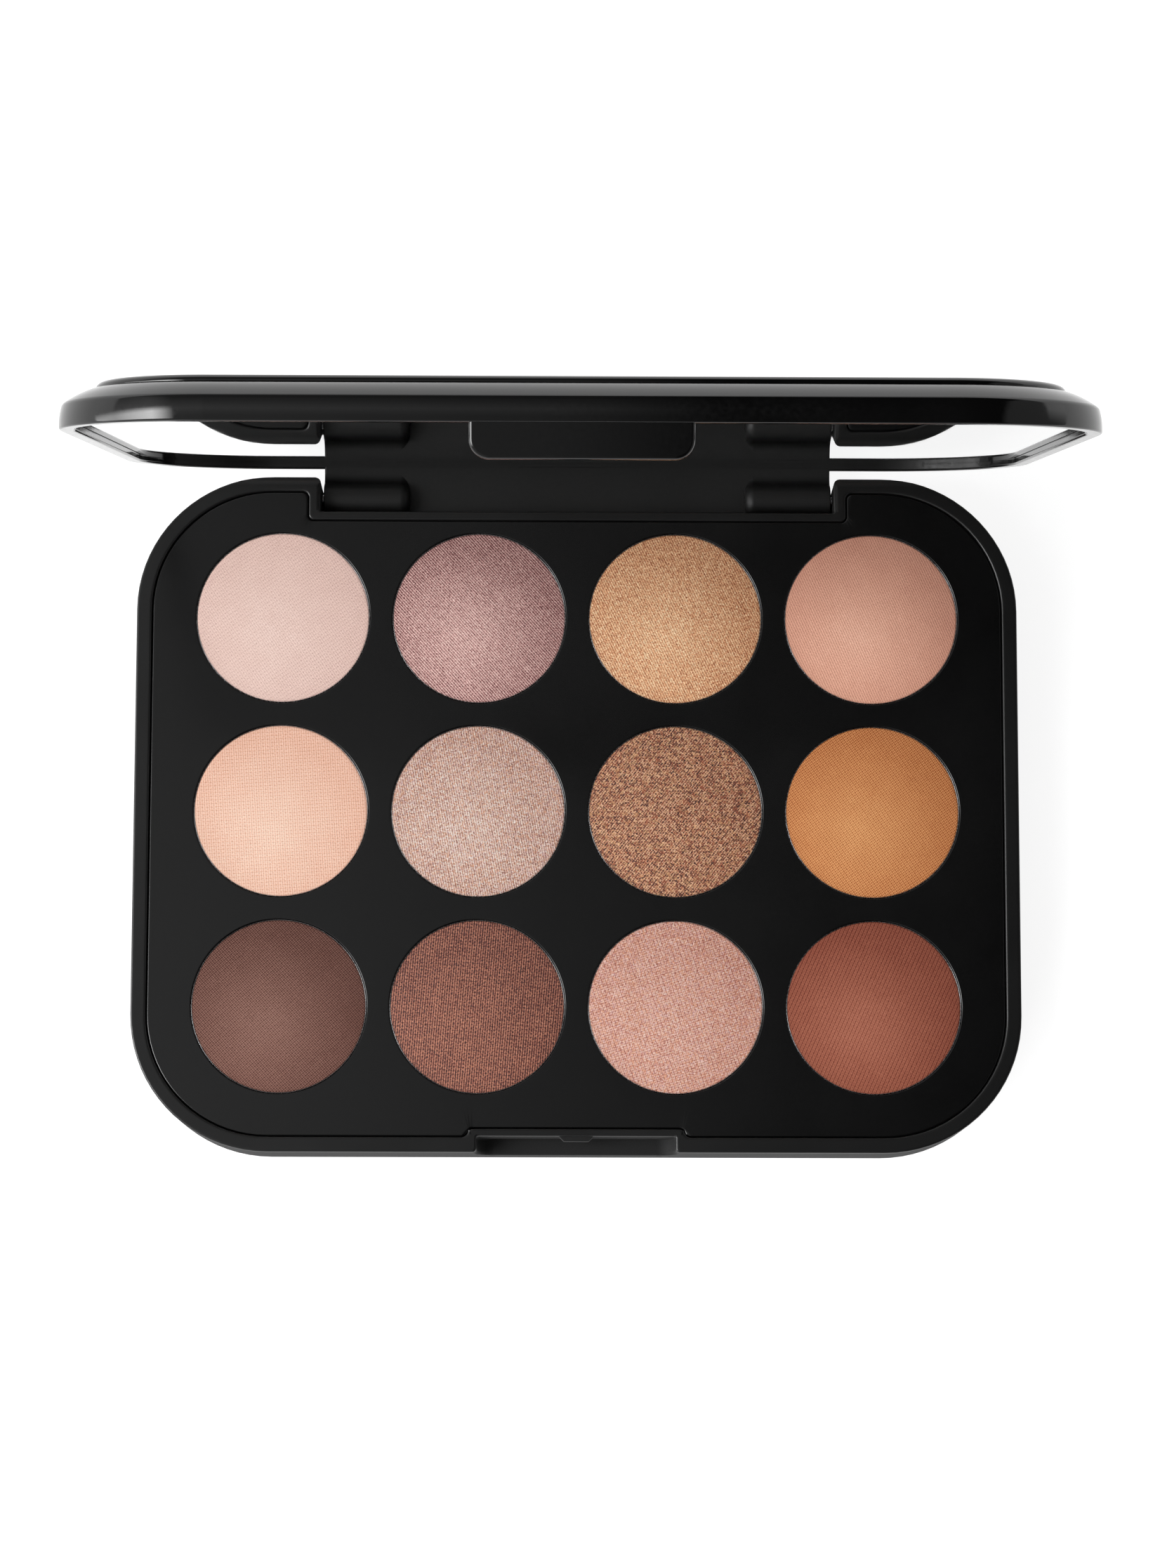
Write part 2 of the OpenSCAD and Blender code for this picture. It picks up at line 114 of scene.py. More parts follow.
# %% Outlines
def rounded_path(corners, steps):
    """Closed outline through rounded corners, counter-clockwise, with its outward normals.

    A corner is (a, b, r). The centre of its arc lies on the corner's bisector, r divided by the sine of
    half the corner's angle away from it. The normal turns evenly from the edge before to the edge after,
    and the arc's point is the centre plus r times the normal, or minus it where the outline turns inward.
    """
    corners = np.asarray(corners, float)
    spot, radius = corners[:, :2], corners[:, 2:]
    back = np.roll(spot, 1, 0) - spot
    ahead = np.roll(spot, -1, 0) - spot
    back /= np.linalg.norm(back, axis=1, keepdims=True)
    ahead /= np.linalg.norm(ahead, axis=1, keepdims=True)
    half = np.arccos(np.clip((back * ahead).sum(1, keepdims=True), -1, 1)) / 2
    bisector = back + ahead
    bisector /= np.linalg.norm(bisector, axis=1, keepdims=True)
    centre = spot + bisector * radius / np.sin(half)
    first = np.arctan2(back[:, 0], -back[:, 1])
    last = np.arctan2(-ahead[:, 0], ahead[:, 1])
    turn = (last - first + np.pi) % (2 * np.pi) - np.pi
    angle = first[:, None] + turn[:, None] * np.linspace(0, 1, steps)
    normal = np.stack([np.cos(angle), np.sin(angle)], -1)
    points = centre[:, None] + np.sign(turn)[:, None, None] * radius[:, None] * normal
    return points.reshape(-1, 2), normal.reshape(-1, 2)


def rounded_box(half_w, half_d, corner_r, steps):
    """Outline of a rectangle about the origin with rounded corners."""
    return rounded_path([(half_w, -half_d, corner_r), (half_w, half_d, corner_r),
                         (-half_w, half_d, corner_r), (-half_w, -half_d, corner_r)], steps)


lid_path = rounded_box(HALF_W, HALF_D, CORNER_R, 36)
print("points round the lid:", len(lid_path[0]))

# %% Rows
UPRIGHT = {"z": 0, "x": 1, "y": 2}  # how far the coordinates roll to stand a section on each axis


def ring_row(path, grow, height, axis="z"):
    """One row of a skin: the outline moved by grow along its normals, at a height along the axis."""
    points, normals = path
    row = np.column_stack([points + grow * normals, np.full(len(points), height)])
    return np.roll(row, UPRIGHT[axis], 1)


def spun(profile, centre, count, axis="z"):
    """Rows of a turned shape: each (radius, height) of the profile becomes a circle about the axis."""
    angle = np.linspace(0, 2 * np.pi, count, endpoint=False)
    radius, height = np.asarray(profile, float).T
    ring = np.stack([np.outer(radius, np.cos(angle)), np.outer(radius, np.sin(angle)),
                     np.repeat(height[:, None], count, 1)], -1)
    return np.roll(ring, UPRIGHT[axis], 2) + np.asarray(centre, float)


print("points in a small circle of eight:", spun([(1, 0)], (0, 0, 0), 8).shape[1])

# %% Skins
def skin(rows, start="cap", end="cap"):
    """Vertices and faces through rows of equal length: a four-sided face between each two neighbours
    along and across the rows, which run round, and a flat cap or an open edge at either end."""
    rows = np.asarray(rows)
    count, width = rows.shape[:2]
    index = np.arange(count * width).reshape(count, width)
    low, high = index[:-1], index[1:]
    faces = np.stack([low, np.roll(low, -1, 1), np.roll(high, -1, 1), high], -1).reshape(-1, 4).tolist()
    if start == "cap":
        faces.append(index[0, ::-1].tolist())
    if end == "cap":
        faces.append(index[-1].tolist())
    return rows.reshape(-1, 3), faces


print("faces of a box from two rows:", len(skin([ring_row(lid_path, 0, 0), ring_row(lid_path, 0, 1)])[1]))

# %% Rounded edges and bars
def quarter(steps=6):
    """Sine, and one minus cosine, of angles from 0 to 90 degrees: the two legs of a rounded edge."""
    angle = np.linspace(0, np.pi / 2, steps)
    return np.sin(angle), 1 - np.cos(angle)


rise, fall = quarter()


def bar(path, low, high, low_round, high_round, axis):
    """A closed bar: an outline carried along an axis, drawn in by a quarter round at both ends."""
    rows = [ring_row(path, low_round * (s - 1), low + low_round * c, axis) for s, c in zip(rise, fall)]
    rows += [ring_row(path, -high_round * c, high - high_round * (1 - s), axis) for s, c in zip(rise, fall)]
    return skin(rows)


print("rows in a rounded edge:", len(rise))

# %% Flat faces with holes
WELD = 1e-7  # points closer than this are one


def flat_fill(loops, height, facing):
    """Triangles of a flat face between its outline, the first loop, and round holes, the other loops.

    The triangles follow every edge of the loops, and those whose middle lies in a hole are dropped. One
    that turns against the facing, by the sign of its area, has its corners reversed.
    """
    points = np.concatenate(loops)
    starts = np.cumsum([0] + [len(loop) for loop in loops])
    edges = np.concatenate([
        np.column_stack([np.arange(a, b), np.roll(np.arange(a, b), -1)]) for a, b in zip(starts, starts[1:])
    ])
    found = delaunay_2d_cdt(points.tolist(), edges.tolist(), [], 1, WELD)
    flat = np.array([tuple(point) for point in found[0]])
    triangles = np.array(found[2])
    middle = flat[triangles].mean(1)
    for loop in loops[1:]:
        keep = np.linalg.norm(middle - loop.mean(0), axis=1) > np.linalg.norm(loop[0] - loop.mean(0))
        triangles, middle = triangles[keep], middle[keep]
    first, second, third = np.moveaxis(flat[triangles], 1, 0)
    side_a, side_b = second - first, third - first
    wrong = (side_a[:, 0] * side_b[:, 1] - side_a[:, 1] * side_b[:, 0]) * facing < 0
    triangles[wrong] = triangles[wrong][:, ::-1]
    return np.column_stack([flat, np.full(len(flat), height)]), triangles.tolist()


print("triangles that fill the lid's outline:", len(flat_fill([lid_path[0]], 0, 1)[1]))

# %% A finished piece
DOUBLES = 1e-3  # vertices closer than this are merged


def open_lid(points):
    """Turns points of the shut lid about the hinge axis to the angle at which the lid is drawn."""
    across, up = points[:, 1] - HINGE_Y, points[:, 2] - HINGE_Z
    cosine, sine = math.cos(LID_OPEN), math.sin(LID_OPEN)
    return np.column_stack([points[:, 0], HINGE_Y + across * cosine + up * sine,
                            HINGE_Z - across * sine + up * cosine])


def make_piece(name, skins, material, body, nodes, sharp=36):
    """One mesh object from a list of skins, joined where they meet, riding on a body of the frame.

    Edges steeper than sharp degrees stay crisp, and a Weighted Normal modifier keeps flat faces flat.
    """
    points = np.concatenate([part[0] for part in skins])
    offsets = np.cumsum([0] + [len(part[0]) for part in skins])
    faces = [[i + offset for i in face] for part, offset in zip(skins, offsets) for face in part[1]]
    if body == "lid":
        points = open_lid(points)
    mesh = bpy.data.meshes.new(name)
    mesh.from_pydata((points * MM).tolist(), [], faces)
    work = bmesh.new()
    work.from_mesh(mesh)
    bmesh.ops.remove_doubles(work, verts=work.verts, dist=DOUBLES * MM)
    volume = work.calc_volume(signed=True)
    open_edges = sum(not edge.is_manifold for edge in work.edges)
    work.to_mesh(mesh)
    work.free()
    mesh.shade_smooth()
    mesh.set_sharp_from_angle(angle=math.radians(sharp))
    mesh.materials.append(material)
    piece = bpy.data.objects.new(name, mesh)
    bpy.context.scene.collection.objects.link(piece)
    even = piece.modifiers.new("even_normals", "WEIGHTED_NORMAL")
    even.keep_sharp = True
    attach(piece, body)
    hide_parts(*nodes)
    print(name, len(mesh.polygons), "faces,", round(volume * 1e6, 3), "cm3, open edges:", open_edges)
    return piece


lid_middle = open_lid(np.array([(0.0, 0.0, RIM_Z)]))[0]
print("middle of the open lid, in millimetres:", lid_middle.round(1).tolist())

# %% [markdown]
# ## Finishes
# The case is black moulded plastic: glossy on the lid and glossier still on its raised panel, satin on
# the base and the tray. The powders are pressed through a cloth, so its threads stay on their faces, and
# half of them carry flakes that sparkle. Each finish is built from nodes on Object coordinates, which are
# metres here, so a scale of 1000 is one millimetre.

# %% Node helpers
def linear(red, green, blue):
    """A display colour of 0 to 255 as the linear colour that shaders use."""
    share = np.array([red, green, blue]) / 255
    value = np.where(share <= 0.04045, share / 12.92, ((share + 0.055) / 1.055) ** 2.4)
    return (*value.tolist(), 1.0)


def set_inputs(tree, made, inputs):
    """Sets inputs of a node to values, or links them to other nodes' sockets."""
    for key, value in inputs.items():
        if isinstance(value, bpy.types.NodeSocket):
            tree.links.new(value, made.inputs[key])
        else:
            made.inputs[key].default_value = value


def node(tree, kind, inputs=None, **settings):
    """A shader node with its settings and its inputs."""
    made = tree.nodes.new("ShaderNode" + kind)
    for key, value in settings.items():
        setattr(made, key, value)
    set_inputs(tree, made, inputs or {})
    return made


def start_finish(name):
    """A new material, its node tree, its shader and its Object coordinates."""
    material = bpy.data.materials.new(name)
    material.use_nodes = True
    tree = material.node_tree
    place = node(tree, "TexCoord").outputs["Object"]
    return material, tree, tree.nodes["Principled BSDF"], place


print("mid grey as a shader's colour:", round(linear(128, 128, 128)[0], 3))

# %% Patterns and mixes
def noise(tree, place, size_mm, detail=2.0):
    """Soft noise whose patches are about size_mm across."""
    shape = {"Vector": place, "Scale": 1 / (size_mm * MM), "Detail": detail}
    return node(tree, "TexNoise", shape).outputs[0]


def spread(tree, value, low, high, from_low=0.3, from_high=0.7):
    """A value stretched from one range to another."""
    return node(tree, "MapRange", {"Value": value, "From Min": from_low, "From Max": from_high,
                                   "To Min": low, "To Max": high}).outputs[0]


def combined(tree, operation, first, *others):
    """Values put together one after the other: their sum, product or largest, as the operation says."""
    for other in others:
        first = node(tree, "Math", {0: first, 1: other}, operation=operation).outputs[0]
    return first


def blend_colours(tree, share, first, second):
    """A mix of two colours by a share."""
    return node(tree, "Mix", {0: share, 6: first, 7: second}, data_type="RGBA").outputs[2]


print("a pattern of one millimetre has a scale of", round(1 / MM))

# %% Plastics
CLOUD_MM = 18  # patches of slightly other tone and gloss


def black_plastic(name, tone, rough, grain_mm, grain_depth, low_satin=None):
    """Black moulded plastic: a slow change of tone and gloss, and the fine grain of the mould.

    Low_satin is (more roughness, full below, none above): the mould's duller finish low on a piece.
    """
    material, tree, shader, place = start_finish(name)
    cloud = noise(tree, place, CLOUD_MM)
    grain = noise(tree, place, grain_mm, 3)
    dark = (tone * 0.75, tone * 0.75, tone * 0.78, 1)
    light = (tone * 1.25, tone * 1.25, tone * 1.28, 1)
    dullness = combined(tree, "ADD", spread(tree, cloud, -0.02, 0.02), spread(tree, grain, -0.04, 0.04),
                        rough)
    if low_satin:
        more, full, none = low_satin
        height = node(tree, "SeparateXYZ", {0: place}).outputs["Z"]
        dullness = combined(tree, "ADD", dullness, spread(tree, height, more, 0, full * MM, none * MM))
    bump = node(tree, "Bump", {"Strength": 0.5, "Distance": grain_depth * MM, "Height": grain})
    set_inputs(tree, shader, {"Base Color": blend_colours(tree, spread(tree, cloud, 0, 1), dark, light),
                              "Roughness": dullness, "Normal": bump.outputs[0]})
    return material


lid_gloss = black_plastic("lid_gloss", 0.002, 0.1, 0.6, 0.002, (0.42, 11, 15))
panel_gloss = black_plastic("panel_gloss", 0.002, 0.08, 1.2, 0.002)
base_satin = black_plastic("base_satin", 0.0025, 0.34, 0.2, 0.008, (0.45, 9.3, 9.8))
tray_satin = black_plastic("tray_satin", 0.0015, 0.21, 0.16, 0.008)
print("plastics:", lid_gloss.name, panel_gloss.name, base_satin.name, tray_satin.name)

# %% Metal, glass, glue and tape
def drawn_metal(name, tone, rough, stretch):
    """Drawn sheet or wire: noise stretched along the drawing makes fine streaks in gloss and tone."""
    material, tree, shader, place = start_finish(name)
    mapped = node(tree, "Mapping", {"Vector": place, "Scale": stretch}).outputs[0]
    streak = noise(tree, mapped, 0.25, 3)
    dark, light = (tone * 0.85, tone * 0.85, tone * 0.86, 1), (tone, tone, tone * 1.01, 1)
    bump = node(tree, "Bump", {"Strength": 0.3, "Distance": 0.01 * MM, "Height": streak})
    set_inputs(tree, shader, {"Base Color": blend_colours(tree, spread(tree, streak, 0, 1), dark, light),
                              "Roughness": spread(tree, streak, rough - 0.08, rough + 0.08),
                              "Normal": bump.outputs[0], "Metallic": 1})
    return material


def silvered_glass(name):
    """A mirror: bright metal, nearly smooth, with a faint haze that comes and goes."""
    material, tree, shader, place = start_finish(name)
    haze = noise(tree, place, 14, 4)
    dim, bright = (0.9, 0.91, 0.91, 1), (0.94, 0.945, 0.945, 1)
    set_inputs(tree, shader, {"Base Color": blend_colours(tree, spread(tree, haze, 0, 1), dim, bright),
                              "Roughness": spread(tree, haze, 0.005, 0.03), "Metallic": 1})
    return material


def soft_filler(name, low, high, rough):
    """Glue or tape, both hidden in use: a cloudy pale colour with a fine grain."""
    material, tree, shader, place = start_finish(name)
    cloud = noise(tree, place, 1.5, 4)
    bump = node(tree, "Bump", {"Strength": 0.4, "Distance": 0.05 * MM, "Height": cloud})
    set_inputs(tree, shader, {"Base Color": blend_colours(tree, spread(tree, cloud, 0, 1), low, high),
                              "Normal": bump.outputs[0], "Roughness": rough})
    return material


pan_sheet = drawn_metal("pan_sheet", 0.4, 0.25, (1, 1, 0.1))
pin_wire = drawn_metal("pin_wire", 0.62, 0.3, (0.08, 1, 1))
mirror_silver = silvered_glass("mirror_silver")
glue_clear = soft_filler("glue_clear", (0.75, 0.7, 0.58, 1), (0.88, 0.84, 0.74, 1), 0.35)
tape_white = soft_filler("tape_white", (0.78, 0.78, 0.76, 1), (0.9, 0.9, 0.88, 1), 0.7)
print("finishes:", len(bpy.data.materials))

# %% [markdown]
# ## Pressed powders
# A cake of powder is pressed through a cloth, and the threads leave a fine weave about a third of a
# millimetre apart. The weave shows in the colour too, as painted shade in its furrows and painted light on
# its ridges. A matte shade is that weave and a dusty grain. A shimmer adds flakes: a pattern of small
# cells, each with its own tilt, so that some catch the light, and its own brightness, which is painted
# glint. Every shade also has a painted sheen, paler a little to the front left of its middle. A picture
# of a weave would repeat and blur, so the marks are waves worked out in the material.

# %% Print of the cloth
WAVE = 0.314  # one turn of the Wave texture's bands, at a scale of 1
THREAD_MM = 0.342
STITCH_MM = 0.54


def swing(tree, value, share):
    """A value of 0 to 1 as a swing by a share to both sides of nothing."""
    return spread(tree, value, -share, share, 0, 1)


def cloth_print(tree, place, weave, turn):
    """The cloth's marks in the powder: the sum of four patterns of waves, each with its share.

    Weave holds the shares: the ridges of the threads, the stitches across them, their finer halves, and
    stitches that change places from thread to thread, which are the product of stitches and of waves
    twice as wide as a thread. Turn is the direction of the threads from the X axis, in degrees.
    """
    cloth = node(tree, "Mapping", {"Vector": place, "Rotation": (0, 0, math.radians(90 - turn))}).outputs[0]

    def marks(direction, period_mm):
        """Waves across the cloth in one of its two directions."""
        shape = {"Vector": cloth, "Scale": WAVE / (period_mm * MM), "Distortion": 0.5, "Detail": 1.0,
                 "Detail Scale": 0.3}
        return node(tree, "TexWave", shape, bands_direction=direction).outputs["Fac"]

    ridge_share, stitch_share, half_share, shift_share = weave
    ridge, stitch, half_stitch = marks("X", THREAD_MM), marks("Y", STITCH_MM), marks("Y", STITCH_MM / 2)
    every_other = swing(tree, marks("X", 2 * THREAD_MM), 1)
    shifted = combined(tree, "MULTIPLY", every_other, swing(tree, stitch, shift_share))
    return combined(tree, "ADD", swing(tree, ridge, ridge_share), swing(tree, stitch, stitch_share),
                    swing(tree, half_stitch, half_share), shifted)


print("threads", THREAD_MM, "mm apart, stitches", STITCH_MM, "mm")

# %% Powder finish
GRAIN_MM = 0.13
MOTTLE_MM = 0.27
PATCH_MM = 3.0
PAINTED_SHEEN_MM = 14  # how far out the painted sheen fades from its palest spot
PRINT_DEPTH = 0.04
MOST_SHINE = 0.5


def leaning_normal(tree, flake, shine):
    """The face's normal, leaning by each flake's own random direction, and one long again."""
    centred = node(tree, "VectorMath", {0: flake, 1: (0.5, 0.5, 0.5)}, operation="SUBTRACT").outputs[0]
    tilt = node(tree, "VectorMath", {0: centred, "Scale": 0.6 * shine}, operation="SCALE").outputs[0]
    flat = node(tree, "NewGeometry").outputs["Normal"]
    lean = node(tree, "VectorMath", {0: flat, 1: tilt}, operation="ADD").outputs[0]
    return node(tree, "VectorMath", {0: lean}, operation="NORMALIZE").outputs[0]


def pressed_powder(name, spot, tones, weave, sparkle, turn, painted_sheen, tints=None, flake_mm=0.17):
    """Pressed powder: the cloth's marks, a dusty grain and flakes of random brightness, added up to one
    tone that runs from the deep colour of the furrows, painted shade that follows the print's relief, over
    the middle colour to the pale flakes, whose random brightness is painted glint.

    Painted sheen is how much paler the middle, at the spot, is than the edge: a painted highlight in the
    powder's colour. Tints are a warm and a cool colour that some of the flakes lean to.
    """
    material, tree, shader, place = start_finish(name)
    marks = cloth_print(tree, place, weave, turn)
    grain = noise(tree, place, GRAIN_MM, 3)
    flake = node(tree, "TexVoronoi", {"Vector": place, "Scale": 1 / (flake_mm * MM)}).outputs["Color"]
    painted_glint, warmth, coolness = node(tree, "SeparateColor", {0: flake}).outputs
    reach = node(tree, "VectorMath", {0: place, 1: spot}, operation="DISTANCE").outputs["Value"]
    shine = min(sparkle, MOST_SHINE)
    mottle = 0.15 + 0.5 * shine
    # the cloth's marks set most of the tone: painted shade in the furrows and painted light on the ridges,
    # over the same relief that the bump gives
    tone = combined(tree, "ADD", marks, spread(tree, grain, -0.16, 0.16),
                    spread(tree, noise(tree, place, MOTTLE_MM), -mottle, mottle),
                    # random patches of tone, then painted glint: each flake lighter or darker in colour by
                    # its own random share
                    spread(tree, noise(tree, place, PATCH_MM, 3), -0.06, 0.06), swing(tree, painted_glint, sparkle),
                    # painted sheen: paler near the spot and darker towards the edge, a painted highlight
                    spread(tree, reach, painted_sheen, -painted_sheen, 0, PAINTED_SHEEN_MM * MM))

    ramp = node(tree, "ValToRGB", {0: spread(tree, tone, 0, 1, -1, 1)})
    stops = ramp.color_ramp.elements
    stops[0].color, middle, stops[1].color = tones
    stops.new(0.5).color = middle
    colour = ramp.outputs[0]
    if tints:
        warm, cool = tints
        colour = blend_colours(tree, spread(tree, warmth, 0, 0.5, 0.55, 1), colour, warm)
        colour = blend_colours(tree, spread(tree, coolness, 0, 0.4, 0.65, 1), colour, cool)

    height = combined(tree, "ADD", spread(tree, marks, 0, 1, -sum(weave), sum(weave)),
                      spread(tree, grain, 0, 0.6))
    bump = node(tree, "Bump", {"Strength": 0.6, "Distance": PRINT_DEPTH * MM, "Height": height})
    if sparkle:
        set_inputs(tree, bump, {"Normal": leaning_normal(tree, flake, shine)})
    set_inputs(tree, shader, {"Base Color": colour, "Normal": bump.outputs[0],
                              "Roughness": 0.85 - 0.5 * shine, "Specular IOR Level": 0.2 + 0.5 * shine})
    return material


print("grain of the powders", GRAIN_MM, "mm")

# %% The twelve shades
def tones(deep, middle, pale):
    """Three display colours as the linear tones of a powder."""
    return linear(*deep), linear(*middle), linear(*pale)


APRICOT, PEARL = linear(228, 165, 125), linear(206, 180, 184)
RUST, HONEY = linear(164, 84, 54), linear(226, 178, 126)
CREAM = tones((175, 140, 132), (209, 180, 170), (229, 209, 201))
PLUM = tones((83, 41, 42), (170, 129, 124), (221, 189, 181))
GOLD = tones((123, 66, 35), (196, 144, 104), (234, 205, 168))
DUSTY_ROSE = tones((157, 103, 86), (197, 146, 125), (224, 180, 159))
PEACH = tones((195, 140, 115), (220, 179, 159), (228, 211, 193))
TAUPE = tones((111, 70, 61), (179, 145, 130), (218, 205, 195))
BRONZE = tones((46, 13, 4), (115, 64, 43), (203, 162, 132))
OCHRE = tones((134, 71, 33), (180, 118, 73), (211, 159, 107))
UMBER = tones((66, 37, 31), (107, 74, 65), (144, 109, 98))
RUSSET = tones((42, 9, 6), (114, 63, 52), (177, 122, 99))
ROSE = tones((124, 67, 56), (178, 123, 106), (215, 185, 171))
BRICK = tones((89, 36, 26), (134, 76, 58), (168, 109, 89))

# tones, weave, sparkle, direction of the threads in degrees, painted sheen, tints, size of the flakes
shades = {
    (1, 1): (CREAM, (0.16, 0.14, 0.12, 0.12), 0.05, -56, 0.2),
    (1, 2): (PLUM, (0.6, 0.05, 0.18, 0.1), 0.4, -48, 0.34),
    (1, 3): (GOLD, (0.42, 0.08, 0.12, 0.14), 0.6, -64, 0.24),
    (1, 4): (DUSTY_ROSE, (0.26, 0.04, 0.05, 0.1), 0.0, -66, 0.38),
    (2, 1): (PEACH, (0.32, 0.15, 0.18, 0.15), 0.05, -86, 0.28),
    (2, 2): (TAUPE, (0.6, 0.12, 0.15, 0.25), 0.9, -79, 0.26, (APRICOT, PEARL)),
    (2, 3): (BRONZE, (0.62, 0.2, 0.35, 0.4), 0.95, 53, 0.1, (RUST, HONEY), 0.24),
    (2, 4): (OCHRE, (0.4, 0.15, 0.45, 0.15), 0.0, 34, 0.36),
    (3, 1): (UMBER, (0.42, 0.12, 0.46, 0.14), 0.05, -49, 0.42),
    (3, 2): (RUSSET, (0.74, 0.17, 0.15, 0.4), 0.65, 85, 0.14),
    (3, 3): (ROSE, (0.38, 0.3, 0.42, 0.24), 0.85, 18, 0.15, (APRICOT, PEARL)),
    (3, 4): (BRICK, (0.1, 0.26, 0.36, 0.14), 0.04, -24, 0.38),
}
PAINTED_SHEEN_SHIFT = np.array([-2.0, -3.0, 0.0])  # the painted sheen's palest spot lies a little off the middle, towards the soft box at the front left
powder_finish = {
    key: pressed_powder("powder_%d_%d" % key, (pan_centres[key] + PAINTED_SHEEN_SHIFT) * MM, *values)
    for key, values in shades.items()
}
print("powders:", len(powder_finish))

# %% [markdown]
# ## The base shell
# The shell is a shallow tray with a rounded foot. A notch at the back takes the hinge, one at the front
# takes the lid's tab, and the rim follows both. Booleans could cut the notches, but one outline can do
# it without: its notch corners are always there, and below a notch's floor they are pressed flat against
# the wall. The step from the flat row to the full row is then the floor of the notch. The row heights
# run up the outside, over the rim and down the inside, so the whole shell is a single skin.

# %% Base outlines
STEPS = 20
NOTCH_HALF = 38.8
NOTCH_Y = HALF_D - 5.35
NOTCH_ROUND = 1.0
BAY_HALF = 40.7  # the bays are where the seam of the tray steps round the notches
BAY_Y = 44.45
LATCH_BAY_HALF = 16.15
LATCH_BAY_Y = -47.6
BAY_ROUND = 0.9


def bayed(half_w, half_d, corner_r, hinge_half, hinge_y, latch_half, latch_y, rounds):
    """Outline of a rounded rectangle with a bay at the back and one at the front.

    Rounds are the radii of the hinge bay's mouth and inner corners, then of the latch bay's.
    """
    hinge_mouth, hinge_inner, latch_mouth, latch_inner = rounds
    return rounded_path([
        (half_w, -half_d, corner_r), (half_w, half_d, corner_r),
        (hinge_half, half_d, hinge_mouth), (hinge_half, hinge_y, hinge_inner),
        (-hinge_half, hinge_y, hinge_inner), (-hinge_half, half_d, hinge_mouth),
        (-half_w, half_d, corner_r), (-half_w, -half_d, corner_r),
        (-latch_half, -half_d, latch_mouth), (-latch_half, latch_y, latch_inner),
        (latch_half, latch_y, latch_inner), (latch_half, -half_d, latch_mouth),
    ], STEPS)


def shell_outline(latch_half):
    """Outline of the base with both notches, the latch notch as wide as it is at some height."""
    return bayed(HALF_W, HALF_D, CORNER_R, NOTCH_HALF, NOTCH_Y, latch_half, LATCH_Y,
                 (NOTCH_ROUND, INNER_ROUND, 2 * INNER_ROUND, INNER_ROUND))


def tray_path(grow):
    """The seam's outline, grown by a gap: the tray's edge at 0, the pocket in the base at the gap."""
    return bayed(TRAY_HALF_W + grow, TRAY_HALF_D + grow, CORNER_R - RIM_W + grow,
                 BAY_HALF - grow, BAY_Y + grow, LATCH_BAY_HALF - grow, LATCH_BAY_Y - grow,
                 (BAY_ROUND + grow, BAY_ROUND - grow, BAY_ROUND + grow, BAY_ROUND - grow))


print("outline points:", len(tray_path(0)[0]))

# %% Outside of the base
FOOT_ROUND = 1.2
NOTCH_FLOOR = 1.8
LATCH_HALF = 14.75
LATCH_FLOOR = RIM_Z - 4.8


def shell_row(path, inset, height, hinge_depth=None, latch_depth=None):
    """A row of the shell. A notch with a depth given is pressed flat to that depth behind the wall."""
    row = ring_row(path, -inset, height)
    points = path[0]
    wall = HALF_D - inset
    if hinge_depth is not None:
        notch = slice(2 * STEPS, 6 * STEPS)
        row[notch, 0] = points[notch, 0]
        row[notch, 1] = np.clip(points[notch, 1], wall - hinge_depth, wall)
    if latch_depth is not None:
        notch = slice(8 * STEPS, 12 * STEPS)
        row[notch, 0] = points[notch, 0]
        row[notch, 1] = np.clip(points[notch, 1], -wall, latch_depth - wall)
    return row


narrow = shell_outline(LATCH_HALF - LATCH_ROUND)
wide = shell_outline(LATCH_HALF)
rows = [shell_row(narrow, FOOT_ROUND * (1 - s), FOOT_ROUND * c, 0, 0) for s, c in zip(rise, fall)]
rows += [shell_row(narrow, 0, NOTCH_FLOOR - EDGE_ROUND * (1 - s), EDGE_ROUND * c, 0)
         for s, c in zip(rise, fall)]
rows += [shell_row(narrow, 0, NOTCH_FLOOR, None, 0)]
rows += [shell_row(narrow, 0, LATCH_FLOOR - EDGE_ROUND * (1 - s), None, EDGE_ROUND * c)
         for s, c in zip(rise, fall)]
rows += [shell_row(shell_outline(LATCH_HALF + LATCH_ROUND * (s - 1)), 0, LATCH_FLOOR + LATCH_ROUND * c)
         for s, c in zip(*quarter(9))]
rows += [shell_row(wide, LIP_ROUND * c, RIM_Z - LIP_ROUND * (1 - s)) for s, c in zip(rise, fall)]
print("rows up the outside:", len(rows))

# %% Inside of the base
TRAY_GAP = 0.15
LEDGE_W = 1.2
FLOOR_T = 1.2
SWING_R = 4.7  # the lid's lip sweeps this circle about the hinge axis

pocket = tray_path(TRAY_GAP)
seam = ring_row(pocket, SEAM_ROUND, RIM_Z)
rows += [rows[-1] * (1 - t) + seam * t for t in np.linspace(0, 1, 8)[1:-1]]
rows += [ring_row(pocket, SEAM_ROUND * (1 - s), RIM_Z - SEAM_ROUND * c) for s, c in zip(rise, fall)]
ledge = bayed(TRAY_HALF_W - LEDGE_W, TRAY_HALF_D - LEDGE_W, CORNER_R - RIM_W - LEDGE_W,
              BAY_HALF + LEDGE_W, BAY_Y - LEDGE_W / 2, LATCH_BAY_HALF + LEDGE_W, LATCH_BAY_Y + LEDGE_W / 2,
              (INNER_ROUND, BAY_ROUND, INNER_ROUND, BAY_ROUND))
rows += [ring_row(pocket, 0, PLATE_Z), ring_row(ledge, 0, PLATE_Z), ring_row(ledge, 0, FLOOR_T)]
shell_rows = np.array(rows)

